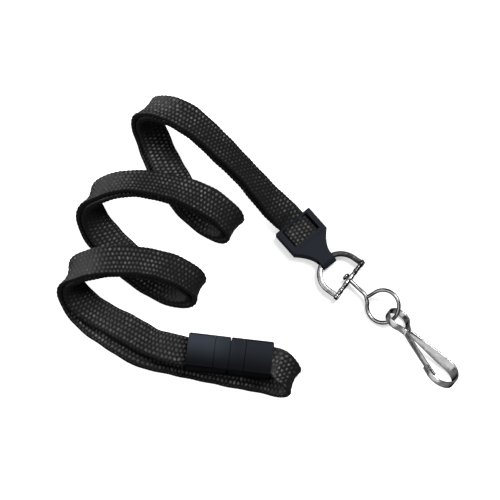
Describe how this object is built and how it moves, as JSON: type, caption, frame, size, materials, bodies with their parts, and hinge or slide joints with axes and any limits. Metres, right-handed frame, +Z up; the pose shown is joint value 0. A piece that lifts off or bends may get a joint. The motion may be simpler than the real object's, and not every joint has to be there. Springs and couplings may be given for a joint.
{
  "type": "lanyard",
  "caption": "Doubled flat braided neck lanyard in a loose coil, with a break-away buckle, plastic crimp clamp, D-ring, swivel eye and bent strip hook with spring gate.",
  "frame": {"origin": "middle of the back face of the crimp clamp, on the table", "axes": "+Z up from the table the lanyard lies on, +X along the longest side of the laid-out coil, from the coil towards the hook"},
  "size_m": [0.1245, 0.0964, 0.0175],
  "materials": {
    "strap_cloth": "hollow flat braid, charcoal black",
    "black_plastic": "moulded, satin blue-black",
    "bright_nickel": "bright nickel plate on steel"
  },
  "bodies": {
    "strap_and_clamp": {"strap_inner": "strap_cloth", "strap_outer": "strap_cloth", "crimp_clamp": "black_plastic", "buckle_socket": "black_plastic", "socket_lid": "black_plastic"},
    "plug_end": {"buckle_plug": "black_plastic", "plug_lid": "black_plastic", "strap_tail": "strap_cloth"},
    "d_ring": {"d_ring": "bright_nickel"},
    "swivel": {"swivel_eye": "bright_nickel"},
    "hook": {"hook_body": "bright_nickel"},
    "gate": {"hook_gate": "bright_nickel"}
  },
  "joints": [
    {"name": "breakaway_release", "type": "slide", "parent": "strap_and_clamp", "child": "plug_end", "axis": [0.9925, -0.1219, 0], "range_m": [0, 0.012]},
    {"name": "d_ring_swing", "type": "hinge", "parent": "strap_and_clamp", "child": "d_ring", "pos_m": [0.00784, -0.00935, 0.002], "axis": [-0.766, -0.6428, 0], "range_deg": [-80, 80]},
    {"name": "swivel_spin", "type": "hinge", "parent": "d_ring", "child": "swivel", "pos_m": [0.01491, -0.01563, 0.00211], "axis": [0.7071, -0.707, 0.0122], "continuous": true},
    {"name": "hook_swing", "type": "hinge", "parent": "swivel", "child": "hook", "pos_m": [0.02936, -0.02768, 0.0031], "axis": [0.5381, 0.7419, 0.4001], "range_deg": [-75, 75]},
    {"name": "gate_flex", "type": "hinge", "parent": "hook", "child": "gate", "pos_m": [0.03233, -0.03392, 0.00478], "axis": [0.483, 0.4343, 0.7603], "range_deg": [0, 15], "stiffness_Nm_per_rad": 0.01}
  ]
}
